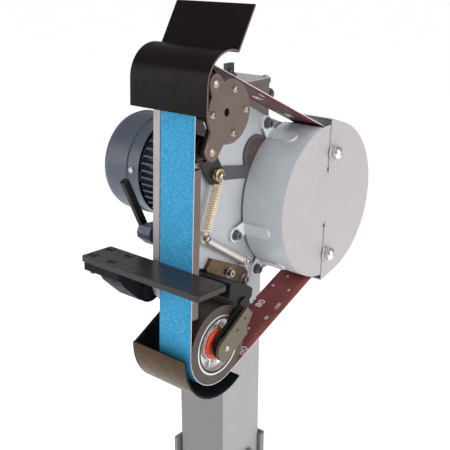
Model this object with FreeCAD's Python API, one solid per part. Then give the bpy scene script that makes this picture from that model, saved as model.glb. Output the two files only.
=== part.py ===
import FreeCAD, Part
import math, os

# Stationary belt grinder on a square column.  Millimetres, +Z up.
# Origin: on the floor, at the centre of the base plate, on the column axis.
# +X points along the wheel axles, away from the motor.  -Y is the operator's side.

V = FreeCAD.Vector

# ---------------------------------------------------------------- driving dimensions
AXIS_Z = 1000.0            # height of the motor and drive wheel axis
BELT_X = 160.0             # mid plane of the belt
BELT_W = 50.0              # belt width
BELT_T = 1.0               # belt thickness
BELT_GAP = 0.3             # running gap between the belt and the wheels
HEAD_TILT = 2.73           # degrees, the grinding head as set about the motor axis
FRONT_Y = -268.0           # outer face of the front run, head frame

DRIVE_R = 90.0             # drive wheel
CONTACT_R = 49.6           # contact wheel
TOP_R = 19.0               # top roller
IDLER_R = 16.0             # small roller above the platen
CW_Y, CW_Z = FRONT_Y + CONTACT_R + BELT_GAP + BELT_T, -137.3
TR_Y, TR_Z = FRONT_Y + TOP_R + BELT_GAP + BELT_T, 178.8
ID_Y, ID_Z = FRONT_Y + IDLER_R + BELT_GAP + BELT_T, 105.9
PV_Y, PV_Z = -228.8, 146.7           # pivot of the tension rocker
BU_Y, BU_Z = -168.0, 55.5            # bush that joins the tension lever to the tension ring
TT_Y, TT_Z = -262.0, -66.0           # tilt axis of the work table
LK_Y, LK_Z = -248.0, -7.0            # clamp lever axis
NUT_Y, NUT_Z1, NUT_Z2 = 3.0, 68.0, -74.0

COL = 95.0                 # column tube across flats
COL_WALL = 4.0
COL_TOP = 906.0
PED_TOP = 547.0            # top of the pedestal channel
BASE = 450.0               # base plate side
BASE_T = 12.0
BASE_HOLE = 370.0          # spacing of the floor bolts
BASE_HOLE_R = 7.0

COWL_R = 80.0
STATOR_R = 64.0
FIN_R = 77.0
SHAFT_R = 9.5
HUB_R = 40.0               # spigot on the motor flange that the head swings on
HUB_GAP = 0.05

TABLE_X0, TABLE_X1 = -104.5, 77.0    # from the belt's mid plane
TABLE_Y0, TABLE_Y1 = -317.5, -270.8
TABLE_Z0, TABLE_Z1 = -36.0, -29.0

parts = {}


# ---------------------------------------------------------------- helpers
def cylx(a, b, r, y=0.0, z=0.0):
    return Part.makeCylinder(r, b - a, V(BELT_X + a, y, z), V(1, 0, 0))


def cylz(x, y, z0, z1, r):
    return Part.makeCylinder(r, z1 - z0, V(x, y, z0), V(0, 0, 1))


def cyly(x, z, y0, y1, r):
    return Part.makeCylinder(r, y1 - y0, V(x, y0, z), V(0, 1, 0))


def conex(a, b, r0, r1, y=0.0, z=0.0):
    return Part.makeCone(r0, r1, b - a, V(BELT_X + a, y, z), V(1, 0, 0))


def ringx(a, b, ro, ri, y=0.0, z=0.0):
    return cylx(a, b, ro, y, z).cut(cylx(a - 1, b + 1, ri, y, z))


def boxh(a, b, y0, y1, z0, z1):
    return Part.makeBox(b - a, y1 - y0, z1 - z0, V(BELT_X + a, y0, z0))


def boxw(x0, x1, y0, y1, z0, z1):
    return Part.makeBox(x1 - x0, y1 - y0, z1 - z0, V(x0, y0, z0))


def polyx(pts, a, b):
    w = [V(BELT_X + a, p[0], p[1]) for p in pts]
    return Part.Face(Part.makePolygon(w + [w[0]])).extrude(V(b - a, 0, 0))


def tangents(c1, c2):
    (y1, z1, r1), (y2, z2, r2) = c1, c2
    dy, dz = y2 - y1, z2 - z1
    d = math.hypot(dy, dz)
    uy, uz = dy / d, dz / d
    k = (r1 - r2) / d
    s = math.sqrt(1 - k * k)
    ny, nz = uy * k + uz * s, uz * k - uy * s
    return (y1 + r1 * ny, z1 + r1 * nz), (y2 + r2 * ny, z2 + r2 * nz)


def hull(circles, a, b):
    """Convex outline round circles given counter-clockwise in (y, z), extruded along X."""
    n = len(circles)
    tans = [tangents(circles[i], circles[(i + 1) % n]) for i in range(n)]
    edges = []
    x = BELT_X + a
    for i in range(n):
        p, q = tans[i]
        edges.append(Part.LineSegment(V(x, *p), V(x, *q)).toShape())
        c = circles[(i + 1) % n]
        s = tans[(i + 1) % n][0]
        a0 = math.atan2(q[1] - c[1], q[0] - c[0])
        a1 = math.atan2(s[1] - c[1], s[0] - c[0])
        while a1 < a0:
            a1 += 2 * math.pi
        am = (a0 + a1) / 2
        if a1 - a0 > 1e-6:
            m = V(x, c[0] + c[2] * math.cos(am), c[1] + c[2] * math.sin(am))
            edges.append(Part.Arc(V(x, *q), m, V(x, *s)).toShape())
    return Part.Face(Part.Wire(edges)).extrude(V(b - a, 0, 0))


def bar2(y0, z0, y1, z1, r0, r1, a, b):
    """Round-ended strap between two points."""
    return hull([(y0, z0, r0), (y1, z1, r1)], a, b)


def sector(a, b, ro, ri, a0, a1, y=0.0, z=0.0):
    """Part of a ring between two angles (degrees in the y-z plane)."""
    t0, t1 = math.radians(a0), math.radians(a1)
    tm = (t0 + t1) / 2
    x = BELT_X + a

    def P(r, t):
        return V(x, y + r * math.cos(t), z + r * math.sin(t))
    w = Part.Wire([Part.Arc(P(ro, t0), P(ro, tm), P(ro, t1)).toShape(),
                   Part.LineSegment(P(ro, t1), P(ri, t1)).toShape(),
                   Part.Arc(P(ri, t1), P(ri, tm), P(ri, t0)).toShape(),
                   Part.LineSegment(P(ri, t0), P(ro, t0)).toShape()])
    return Part.Face(w).extrude(V(b - a, 0, 0))


def hexx(a, b, af, y, z, rot=0.0):
    r = af / math.sqrt(3)
    return polyx([(y + r * math.cos(math.radians(60 * i + rot)), z + r * math.sin(math.radians(60 * i + rot))) for i in range(6)], a, b)


def dome(a, h, r, y, z):
    """Low domed screw head standing on plane a towards +X."""
    R = (r * r + h * h) / (2 * h)
    s = Part.makeSphere(R, V(BELT_X + a + h - R, y, z))
    return s.common(cylx(a, a + h + 1, r, y, z))


def socket_screw(a, b, y, z, r=2.5, hr=4.5, hh=3.2, hexaf=3.0):
    """Button-head socket screw: shank from a to b, head above b."""
    s = cylx(a, b + 0.05, r, y, z).fuse(dome(b, hh, hr, y, z))
    return s.cut(hexx(b + hh - 1.9, b + hh + 1, hexaf, y, z))


def rev_x(prof):
    """Revolve an (x, r) outline about the drive axis."""
    w = [V(p[0], p[1], 0) for p in prof]
    f = Part.Face(Part.makePolygon(w + [w[0]]))
    return f.revolve(V(0, 0, 0), V(1, 0, 0), 360)


def fuse(*s):
    r = s[0]
    for q in s[1:]:
        r = r.fuse(q)
    return r.removeSplitter()


def cuts(base, tools):
    for q in tools:
        base = base.cut(q)
    return base


def head(shape):
    """Place a shape of the grinding head: swing it about the motor axis, lift it to its height."""
    s = shape.copy()
    s.rotate(V(0, 0, 0), V(1, 0, 0), -HEAD_TILT)
    s.translate(V(0, 0, AXIS_Z))
    return s


def lift(shape):
    s = shape.copy()
    s.translate(V(0, 0, AXIS_Z))
    return s


def group(*s):
    return Part.Compound(list(s))


# ================================================================ STAND
h = BASE / 2
plate = boxw(-h, h, -h, h, 0, BASE_T)
plate = plate.makeFillet(25, [e for e in plate.Edges if abs(e.Vertexes[0].Z - e.Vertexes[1].Z) > 5])
plate = plate.makeChamfer(1.5, [e for e in plate.Edges if all(abs(v.Z - BASE_T) < 1e-6 for v in e.Vertexes)])
q = BASE_HOLE / 2
plate = cuts(plate, [cylz(sx * q, sy * q, -1, BASE_T + 1, BASE_HOLE_R) for sx in (-1, 1) for sy in (-1, 1)])
parts["base_plate"] = plate

# Pedestal: a folded channel, open at the front, that the column stands in.
c = COL / 2
o = c + 1.0
w_ = 6.0
ped = boxw(-o - w_, o + w_, -o - w_, o + w_, BASE_T, PED_TOP).cut(boxw(-o, o, -o - w_ - 1, o, BASE_T - 1, PED_TOP + 1))
ped = ped.cut(boxw(o - 1, o + w_ + 1, -o - w_ - 1, o - 8, PED_TOP - 46, PED_TOP + 1))
ped = ped.makeFillet(5, [e for e in ped.Edges if abs(e.Vertexes[0].Z - e.Vertexes[-1].Z) > 60 and e.Vertexes[0].Y > o + w_ - 0.1])
parts["pedestal_channel"] = ped
gs = []
for sx in (-1, 1):
    for yy in (-26.0, 26.0):
        x0 = sx * (o + w_)
        tri = Part.Face(Part.makePolygon([V(x0, yy - 3, BASE_T), V(x0 + sx * 95, yy - 3, BASE_T), V(x0 + sx * 95, yy - 3, BASE_T + 12),
                                          V(x0 + sx * 12, yy - 3, BASE_T + 150), V(x0, yy - 3, BASE_T + 150), V(x0, yy - 3, BASE_T)]))
        gs.append(tri.extrude(V(0, 6, 0)))
parts["pedestal_channel"] = fuse(parts["pedestal_channel"], *gs)

# Column: square tube with rounded corners.
tube = boxw(-c, c, -c, c, BASE_T, COL_TOP)
tube = tube.makeFillet(7, [e for e in tube.Edges if abs(e.Vertexes[0].Z - e.Vertexes[1].Z) > 100])
ci = c - COL_WALL
inner = boxw(-ci, ci, -ci, ci, BASE_T - 1, COL_TOP + 1)
inner = inner.makeFillet(3.5, [e for e in inner.Edges if abs(e.Vertexes[0].Z - e.Vertexes[1].Z) > 100])
parts["column_tube"] = tube.cut(inner)


def sidebolt(y, z, sx, s=o + w_):
    a = Part.makeCylinder(5, 20, V(sx * (s - 18), y, z), V(sx, 0, 0))
    wsh = Part.makeCylinder(10, 1.8, V(sx * s, y, z), V(sx, 0, 0))
    r = 16.2 / math.sqrt(3)
    pts = [V(sx * (s + 1.8), y + r * math.cos(math.radians(60 * i)), z + r * math.sin(math.radians(60 * i))) for i in range(6)]
    hx_ = Part.Face(Part.makePolygon(pts + [pts[0]])).extrude(V(sx * 6.4, 0, 0))
    return a.fuse(wsh).fuse(hx_)


bl = [sidebolt(y, z, -1) for (y, z) in ((-22, 521), (22, 521), (-22, 300), (22, 300))] + [sidebolt(y, z, 1) for (y, z) in ((-22, 470), (22, 470), (-22, 300), (22, 300))] + [sidebolt(14, 523, 1, c)]
parts["column_bolts"] = group(*bl)
for b_ in bl:
    parts["pedestal_channel"] = parts["pedestal_channel"].cut(b_)
    parts["column_tube"] = parts["column_tube"].cut(b_)

# Motor seat on top of the column.
seat = boxw(-85, 70, -72, 72, COL_TOP, COL_TOP + 10)
seat = seat.makeFillet(8, [e for e in seat.Edges if abs(e.Vertexes[0].Z - e.Vertexes[1].Z) > 5])
parts["column_tube"] = fuse(parts["column_tube"], seat)
foot_b = [(-60, -62.5), (40, -62.5), (-60, 62.5), (40, 62.5)]
ft = []
for sy in (-1, 1):
    f = boxw(-72, 52, min(sy * 48, sy * 72), max(sy * 48, sy * 72), COL_TOP + 10, COL_TOP + 20)
    ft.append(f)
    for xx in (-66, -14, 40):
        w = Part.Face(Part.makePolygon([V(xx, sy * 30, COL_TOP + 26), V(xx, sy * 48, COL_TOP + 20), V(xx, sy * 68, COL_TOP + 20), V(xx, sy * 62, COL_TOP + 40),
                                        V(xx, sy * 44, COL_TOP + 48), V(xx, sy * 30, COL_TOP + 26)])).extrude(V(7, 0, 0))
        ft.append(w)
feet = []
for k in range(2):
    s = ft[4 * k]
    for j in range(1, 4):
        s = s.fuse(ft[4 * k + j])
    feet.append(s)


def footbolt(x, y):
    z = COL_TOP
    s = cylz(x, y, z - 8, z + 30, 4.5).fuse(cylz(x, y, z + 20, z + 21.6, 9))
    r = 13 / math.sqrt(3)
    for (z0, z1) in ((z + 21.6, z + 27.5), (z - 6.5, z)):
        pts = [V(x + r * math.cos(math.radians(60 * i)), y + r * math.sin(math.radians(60 * i)), z0) for i in range(6)]
        s = s.fuse(Part.Face(Part.makePolygon(pts + [pts[0]])).extrude(V(0, 0, z1 - z0)))
    return s


fb = [footbolt(x, y) for x, y in foot_b]
parts["motor_foot_bolts"] = group(*fb)
for k in range(2):
    for b_ in fb:
        feet[k] = feet[k].cut(b_)
for b_ in fb:
    parts["column_tube"] = parts["column_tube"].cut(b_)

# Motor: ribbed stator housing, flat cooling fins on both sides and below.
X_R, X_D = -94.0, 85.0
core = Part.makeCylinder(STATOR_R, X_D - X_R, V(X_R, 0, 0), V(1, 0, 0))
envl = Part.makeCylinder(FIN_R, X_D - X_R - 12, V(X_R + 6, 0, 0), V(1, 0, 0))
fins = []
for i in range(-5, 6):
    z = i * 10.5
    fins.append(Part.makeBox(X_D - X_R - 12, 2 * FIN_R, 2.4, V(X_R + 6, -FIN_R, z - 1.2)))
for i in range(-3, 4):
    y = i * 10.5
    fins.append(Part.makeBox(X_D - X_R - 12, 2.4, FIN_R - 30, V(X_R + 6, y - 1.2, -FIN_R)))
body = core
for f in fins:
    body = body.fuse(f.common(envl))
body = body.fuse(Part.makeBox(110, 84, 22, V(-57, -42, 58)))          # pad for the terminal box
body = body.cut(Part.makeCylinder(56, X_D - X_R + 2, V(X_R - 1, 0, 0), V(1, 0, 0)))
body = lift(body).removeSplitter()
for k in range(2):
    body = body.fuse(feet[k])
body = body.cut(Part.makeCylinder(56, X_D - X_R + 2, V(X_R - 1, 0, AXIS_Z), V(1, 0, 0)))
parts["stator_housing"] = body.removeSplitter()

# Drive-end shield with the round spigot that the grinding head swings on.
sh = rev_x([(85, 26), (85, 72), (88, 74.5), (94, 74.5), (99.5, 68), (99.5, HUB_R), (124, HUB_R), (124, 27), (112, 27), (112, 13), (106, 13), (106, 26)])
parts["drive_end_shield"] = lift(sh.cut(Part.makeCylinder(12, 60, V(80, 0, 0), V(1, 0, 0))))
rs = rev_x([(-98, 13), (-98, 70), (-94, 72), (-94, 26), (-80, 26), (-80, 23.5), (-92, 23.5), (-92, 13)])
parts["rear_end_shield"] = lift(rs)


def bearing(x0, x1, ro, ri):
    s = Part.makeCylinder(ro, x1 - x0, V(x0, 0, 0), V(1, 0, 0)).cut(Part.makeCylinder(ri, x1 - x0 + 2, V(x0 - 1, 0, 0), V(1, 0, 0)))
    for x in (x0, x1 - 0.6):
        s = s.cut(Part.makeCylinder(ro * 0.86, 0.6, V(x, 0, 0), V(1, 0, 0)).cut(Part.makeCylinder(ri + (ro - ri) * 0.32, 0.8, V(x - 0.1, 0, 0), V(1, 0, 0))))
    return s


parts["motor_bearings"] = group(lift(bearing(-92, -80, 23.5, SHAFT_R + 0.05)), lift(bearing(86, 106, 26, SHAFT_R + 0.05)))

# Fan cowl: a drawn sheet cap with a stepped rim and a slotted end.
cw = rev_x([(-94, 76.5), (-94, 78), (-116, 78), (-118, COWL_R), (-160, COWL_R), (-168, 77), (-171, 70), (-171, 0.0001), (-169.4, 0.0001), (-169.4, 69.3), (-166.8, 75.7), (-159.6, 78.5), (-117.2, 78.5), (-115.2, 76.5)])
sl = []
for i in range(-6, 7):
    z = i * 8.0
    wid = math.sqrt(max(60 ** 2 - z * z, 0))
    for (y0, y1) in ((-wid, -5), (5, wid)):
        if y1 - y0 > 10:
            sl.append(Part.makeBox(6, y1 - y0, 4.2, V(-173, y0, z - 2.1)))
cw = lift(cuts(cw, sl))
# four tabs inside the rim seat on the rear shield
tabs = Part.makeCylinder(76.6, 4, V(-98, 0, 0), V(1, 0, 0)).cut(Part.makeCylinder(72.0, 8, V(-99, 0, 0), V(1, 0, 0))).common(
    fuse(Part.makeBox(10, 160, 14, V(-100, -80, -7)), Part.makeBox(10, 14, 160, V(-100, -7, -80))))
parts["fan_cowl"] = cw.fuse(lift(tabs)).removeSplitter()
cs = []
for an in (84, 174, 264, 354):
    t = math.radians(an)
    dv = V(0, math.cos(t), math.sin(t))
    p = V(-108, 77.5 * math.cos(t), 77.5 * math.sin(t))
    s = Part.makeCylinder(5.2, 2.2, p, dv)
    s = s.fuse(Part.makeCone(5.2, 3.0, 1.6, p + dv * 2.2, dv))
    cs.append(lift(s))
for s in cs:
    parts["fan_cowl"] = parts["fan_cowl"].cut(s)

# Terminal box with its lid, cable gland, and the rotary switch on top.
tb = boxw(-45, 50, -58, 58, AXIS_Z + 80, AXIS_Z + 139)
tb = tb.makeFillet(6, [e for e in tb.Edges if abs(e.Vertexes[0].Z - e.Vertexes[1].Z) > 5])
tb = tb.cut(boxw(-42, 47, -55, 55, AXIS_Z + 83, AXIS_Z + 140))
parts["terminal_box"] = tb.cut(cyly(45 - 12, AXIS_Z + 118, 50, 64, 7.5))
ld = boxw(-46.5, 51.5, -59.5, 59.5, AXIS_Z + 139, AXIS_Z + 147)
ld = ld.makeFillet(6.5, [e for e in ld.Edges if abs(e.Vertexes[0].Z - e.Vertexes[1].Z) > 5])
ld = ld.makeFillet(2.0, [e for e in ld.Edges if all(abs(v.Z - AXIS_Z - 147) < 1e-6 for v in e.Vertexes)])
lids = []
for (x, y) in ((-39, -52), (44, -52), (-39, 52), (44, 52)):
    s = cylz(x, y, AXIS_Z + 133, AXIS_Z + 147, 2.0).fuse(cylz(x, y, AXIS_Z + 147, AXIS_Z + 149.2, 4.0))
    s = s.cut(boxw(x - 4, x + 4, y - 0.5, y + 0.5, AXIS_Z + 148.2, AXIS_Z + 150))
    lids.append(s)
    ld = ld.cut(cylz(x, y, AXIS_Z + 130, AXIS_Z + 150, 2.0))
parts["terminal_box_lid"] = ld
parts["motor_cover_screws"] = group(*(cs + lids))
gx, gz = 33.0, AXIS_Z + 118
gl = cyly(gx, gz, 52, 58, 7.5).fuse(cyly(gx, gz, 58, 61, 12.0)).fuse(cyly(gx, gz, 61, 66, 9.5)).fuse(Part.makeCone(11.0, 8.0, 13, V(gx, 66, gz), V(0, 1, 0)))
gl = gl.cut(cyly(gx, gz, 48, 90, 4.5))
parts["cable_gland"] = gl.removeSplitter()
sbz = AXIS_Z + 147
sb = boxw(9, 27, -9, 9, sbz, sbz + 8)
sb = sb.makeFillet(3, [e for e in sb.Edges if abs(e.Vertexes[0].Z - e.Vertexes[1].Z) > 5])
sb = sb.fuse(cylz(18, 0, sbz + 8, sbz + 10, 8.5)).cut(cylz(18, 0, sbz + 3, sbz + 12, 4.05))
parts["switch_base"] = sb
kn = cylz(18, 0, sbz + 10.3, sbz + 15, 7.6)
kn = kn.fuse(boxw(14.9, 21.1, -8.2, 8.2, sbz + 10.3, sbz + 23)).fuse(cylz(18, 0, sbz + 4, sbz + 12, 4.0))
parts["switch_knob"] = kn.removeSplitter()

# ================================================================ ROTOR (turns)
shaft = Part.makeCylinder(SHAFT_R, 300, V(-150, 0, 0), V(1, 0, 0)).fuse(Part.makeCylinder(SHAFT_R, 30, V(150, 0, 0), V(1, 0, 0)))
shaft = shaft.fuse(Part.makeCylinder(13, 12, V(66, 0, 0), V(1, 0, 0))).fuse(Part.makeCylinder(12.5, 16, V(113, 0, 0), V(1, 0, 0)))
parts["motor_shaft"] = lift(shaft.removeSplitter())
parts["motor_shaft"] = parts["motor_shaft"].fuse(lift(Part.makeCylinder(36, 106, V(-58, 0, 0), V(1, 0, 0)))).removeSplitter()
fan = Part.makeCylinder(18, 26, V(-146, 0, 0), V(1, 0, 0)).fuse(Part.makeCylinder(62, 2.5, V(-122.5, 0, 0), V(1, 0, 0)))
for i in range(8):
    bl_ = Part.makeBox(24, 46, 2.2, V(-144, 16, -1.1))
    bl_.rotate(V(0, 0, 0), V(1, 0, 0), 45 * i)
    fan = fan.fuse(bl_)
parts["cooling_fan"] = lift(fan.cut(Part.makeCylinder(SHAFT_R, 40, V(-150, 0, 0), V(1, 0, 0))).removeSplitter())

dw = ringx(-28, 28, 84, 76).fuse(cylx(-5, 5, 77)).fuse(cylx(-28, 20, 24))
dw = dw.cut(cylx(-30, 30, SHAFT_R))
for i in range(5):
    t = math.radians(72 * i + 18)
    dw = dw.cut(cylx(-8, 8, 15, 50 * math.cos(t), 50 * math.sin(t)))
parts["drive_wheel"] = lift(dw.removeSplitter())
parts["drive_wheel_tyre"] = lift(rev_x([(BELT_X - 28, 84), (BELT_X + 28, 84), (BELT_X + 28, DRIVE_R - 1.0), (BELT_X + 26.5, DRIVE_R), (BELT_X - 26.5, DRIVE_R), (BELT_X - 28, DRIVE_R - 1.0)]))
wn = ringx(20, 22, 17, 4).fuse(hexx(22, 26.4, 13, 0, 0)).fuse(cylx(10, 22.1, 4))
parts["drive_wheel_bolt"] = lift(wn.removeSplitter())
parts["motor_shaft"] = parts["motor_shaft"].cut(lift(cylx(9.9, 40, 4)))
parts["drive_wheel"] = parts["drive_wheel"].cut(parts["drive_wheel_bolt"])

# ================================================================ HEAD (swings about the motor axis)
fp = polyx([(-262, -76), (-262, 172), (-214, 172), (-182, 142), (-96, 131), (-50, 111), (-10, 98), (40, 78), (66, 40), (66, -40), (40, -84), (-52, -101), (-100, -112), (-178, -104), (-236, -96)], -40, -36)
fp = fp.cut(cylx(-42, -34, 60))
SH = ringx(-59.5, -33.3, 60, HUB_R + HUB_GAP).fuse(ringx(-59.5, -40, 70, 59.5))
parts["frame_plate"] = fp
parts["swing_hub"] = SH.removeSplitter()
hs = []
for i in range(6):
    t = math.radians(60 * i + 30)
    y, z = 65 * math.cos(t), 65 * math.sin(t)
    seat_ = cylx(-58, -36, 2.5, y, z).fuse(cylx(-59.5, -55, 4.2, y, z))
    parts["swing_hub"] = parts["swing_hub"].cut(seat_)
    hs.append(seat_.cut(hexx(-60, -57, 4, y, z)))
for s in hs:
    parts["frame_plate"] = parts["frame_plate"].cut(s)

# Front part of the drive wheel guard: rolled wall, round face, three screwed lugs with ribs.
LUG = [(-62.4, 106.1), (-120.6, -33.7), (-72.1, -93.5)]
RG = 105.0
g = sector(-33, 30, RG, RG - 1.5, 101, 259).fuse(cylx(28.5, 30, RG))
sc = []
for (y, z) in LUG:
    t = math.atan2(z, y)
    rr = math.hypot(y, z)
    uy, uz = math.cos(t), math.sin(t)
    outer = bar2((RG - 0.3) * uy, (RG - 0.3) * uz, y, z, 9.5, 9.5, -33, -31)
    outer = outer.cut(cylx(-34, -30, RG - 0.75))
    pad = bar2(y, z, y + 0.1 * uy, z + 0.1 * uz, 9.5, 9.5, -36, -33).cut(cylx(-37, -32, 113.0))
    rib = bar2(0, 0, 0.1, 0, 8.5, 8.5, 0, 1)
    # stiffening rib pressed along the wall, its far end rounded
    rb = Part.makeBox(34, 17, 3.4, V(BELT_X - 33, -8.5, RG - 1.2)).fuse(Part.makeCylinder(8.5, 3.4, V(BELT_X + 1, 0, RG - 1.2), V(0, 0, 1)))
    rb.rotate(V(0, 0, 0), V(1, 0, 0), math.degrees(t) - 90)
    rb = rb.cut(cylx(-40, 30, RG - 0.75))
    g = g.fuse(outer).fuse(pad).fuse(rb)
    s = cylx(-42, -29.7, 3.0, y, z).fuse(ringx(-31, -29.8, 7.5, 2.9, y, z)).fuse(cylx(-29.8, -24.0, 5.2, y, z)).cut(hexx(-27, -23, 4.2, y, z))
    sc.append(s.removeSplitter())
g = g.removeSplitter()
for s in sc:
    g = g.cut(s)
    parts["frame_plate"] = parts["frame_plate"].cut(s)
st = [cylx(28.5, 44.5, 2.5, NUT_Y, NUT_Z1), cylx(28.5, 44.5, 2.5, NUT_Y, NUT_Z2)]
for s in st:
    g = g.cut(s)
parts["guard_front"] = g
parts["guard_studs"] = group(*st)

# Rear part of the guard: D-shaped shell with a straight front edge, slotted for the two studs.
RC = 108.5
EDGE = -4.0


def dshape(r, top, bot, a, b):
    s = cylx(a, b, r)
    for (zc, sgn) in ((top, 1), (bot, -1)):
        dd = math.hypot(EDGE, zc)
        al = math.acos(r / dd)
        base = math.atan2(sgn * abs(zc), EDGE)
        tt = base - sgn * al
        s = s.fuse(polyx([(0, 0), (EDGE, zc), (r * math.cos(tt), r * math.sin(tt))] if sgn < 0 else [(0, 0), (r * math.cos(tt), r * math.sin(tt)), (EDGE, zc)], a, b))
        s = s.fuse(polyx([(0, 0), (EDGE, 0), (EDGE, zc)], a, b))
    return s.cut(boxh(a - 1, b + 1, -200, EDGE, -200, 200))


rc = dshape(RC, 113.5, -113.0, -33, 31.2).cut(dshape(RC - 1.5, 112.0, -111.5, -34, 30.2).fuse(boxh(-34, 30.2, -12, EDGE + 0.01, -111.0, 111.5)))
for zz in (NUT_Z1, NUT_Z2):
    rc = rc.cut(fuse(boxh(30, 34, EDGE - 2, NUT_Y, zz - 3.1, zz + 3.1), cylx(30, 34, 3.1, NUT_Y, zz)))
parts["guard_rear_cover"] = rc


def thumbnut(y, z):
    b = 31.5
    s = ringx(b, b + 1.2, 9.6, 2.6, y, z)
    body_ = cylx(b + 1.2, b + 8.0, 9.0, y, z)
    for i in range(24):
        t = math.radians(15 * i)
        body_ = body_.cut(cylx(b + 1.6, b + 7.5, 0.7, y + 9.2 * math.cos(t), z + 9.2 * math.sin(t)))
    body_ = body_.fuse(cylx(b + 8.0, b + 9.4, 7.4, y, z)).fuse(dome(b + 9.4, 4.4, 8.4, y, z))
    s = s.fuse(body_).cut(cylx(b - 1, b + 20, 2.6, y, z))
    return s.removeSplitter()


parts["thumb_nut_upper"] = thumbnut(NUT_Y, NUT_Z1)
parts["thumb_nut_lower"] = thumbnut(NUT_Y, NUT_Z2)

# Main arm, platen behind the belt.
ma = polyx([(FRONT_Y, -64), (-264, -76), (-256, -84), (-249, -84), (-246, -78), (-246, 190), (-252, 196), (-262, 196), (FRONT_Y, 190)], -36, -26)
parts["main_arm"] = ma
PL0, PL1 = FRONT_Y + BELT_T + 0.5, -256.0
pl = boxh(-26, 24.5, PL0, PL1, -90, 86)
pl = pl.makeFillet(2.5, [e for e in pl.Edges if all(abs(v.Y - PL0) < 1e-6 for v in e.Vertexes) and abs(e.Vertexes[0].X - e.Vertexes[1].X) > 10])
pl = pl.fuse(boxh(-26, -14, -256, -247, -55, -25)).fuse(boxh(-26, -14, -256, -247, 35, 65))
parts["platen"] = pl.removeSplitter()
ps = []
for z in (-38, 40, 60):
    ps.append(cylx(-44, -20, 3.0, -251.5, z).fuse(hexx(-44, -40, 10, -251.5, z)))
for s in ps:
    for n in ("frame_plate", "main_arm", "platen"):
        parts[n] = parts[n].cut(s)

# Upper spark guard: bent sheet, bracket, screws.
GR = 37.0
GT = 2.0


def sheet_profile(a, b):
    x = BELT_X + a

    def P(r, t):
        return V(x, TR_Y + r * math.cos(math.radians(t)), TR_Z + r * math.sin(math.radians(t)))
    yo, yi = TR_Y - GR, TR_Y - GR + GT
    ta, tb_ = 180.0, 72.0
    pe_o = P(GR, tb_)
    d = V(0, 23.0, 43.4)
    d.normalize()
    n = V(0, d.z, -d.y)
    tip_o = V(x, -211.4, 259.6)
    base_o = pe_o
    tip_i = tip_o + n * GT
    pe_i = P(GR - GT, tb_ - 3.0)
    ed = [Part.LineSegment(V(x, yo, 148.9), V(x, yo, TR_Z)).toShape(),
          Part.Arc(P(GR, 180), P(GR, 126), pe_o).toShape(),
          Part.LineSegment(pe_o, tip_o).toShape(),
          Part.LineSegment(tip_o, tip_i).toShape(),
          Part.LineSegment(tip_i, pe_i).toShape(),
          Part.Arc(pe_i, P(GR - GT, 125), P(GR - GT, 180)).toShape(),
          Part.LineSegment(V(x, yi, TR_Z), V(x, yi, 148.9)).toShape(),
          Part.LineSegment(V(x, yi, 148.9), V(x, yo, 148.9)).toShape()]
    return Part.Face(Part.Wire(ed)).extrude(V(b - a, 0, 0))


ug = sheet_profile(-55, 55)
ub = boxh(-52, -36, TR_Y - GR + GT, TR_Y - GR + GT + 3, 156, 180).fuse(boxh(-39, -36, TR_Y - GR + GT, -250, 156, 180))
sg = []
for z in (161, 175):
    y0 = TR_Y - GR
    s = Part.makeCylinder(2.5, 9, V(BELT_X - 46, y0 - 0.05, z), V(0, 1, 0))
    R = 5.2
    hd = Part.makeCylinder(4.6, 2.4, V(BELT_X - 46, y0 + GT + 3.0, z), V(0, 1, 0))
    s = s.fuse(hd)
    sg.append(s)
for z in (162, 174):
    sg.append(cylx(-41.5, -28, 2.5, -257, z).fuse(hexx(-42.5, -39, 8, -257, z)))
fpn = parts["frame_plate"].cut(boxh(-45, -35.9, -270, -246.5, 150, 185))
parts["frame_plate"] = fpn
for s in sg:
    ug = ug.cut(s)
    ub = ub.cut(s)
    parts["main_arm"] = parts["main_arm"].cut(s)
parts["spark_guard_upper"] = ug
parts["spark_guard_upper"] = fuse(ug, ub)

# Lower spark guard: trough concentric with the contact wheel and its side plate.
LR = 66.0
lg = sector(-54.5, 30, LR, LR - 2.5, 178, 304, CW_Y, CW_Z)
sp = sector(-54.5, -52, LR - 2.4, 20, 178, 304, CW_Y, CW_Z).fuse(polyx([(CW_Y - 62, CW_Z - 2), (CW_Y - 63.4, CW_Z + 2), (-226, -104), (-186, -78), (-150, -78), (-150, -110), (CW_Y + 30, CW_Z - 40), (CW_Y, CW_Z - 30)], -54.5, -52))
lg = lg.fuse(sp)
lgs = [ringx(-52, -40, 9, 3, y, z) for (y, z) in ((-178, -92), (-158, -92))]
for s in lgs:
    lg = lg.fuse(s)
parts["spark_guard_lower"] = lg.removeSplitter()
for (y, z) in ((-178, -92), (-158, -92)):
    s = cylx(-57, -36, 3.0, y, z).fuse(hexx(-58.5, -54.5, 10, y, z))
    sg.append(s)
    parts["spark_guard_lower"] = parts["spark_guard_lower"].cut(s)
    parts["frame_plate"] = parts["frame_plate"].cut(s)

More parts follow.
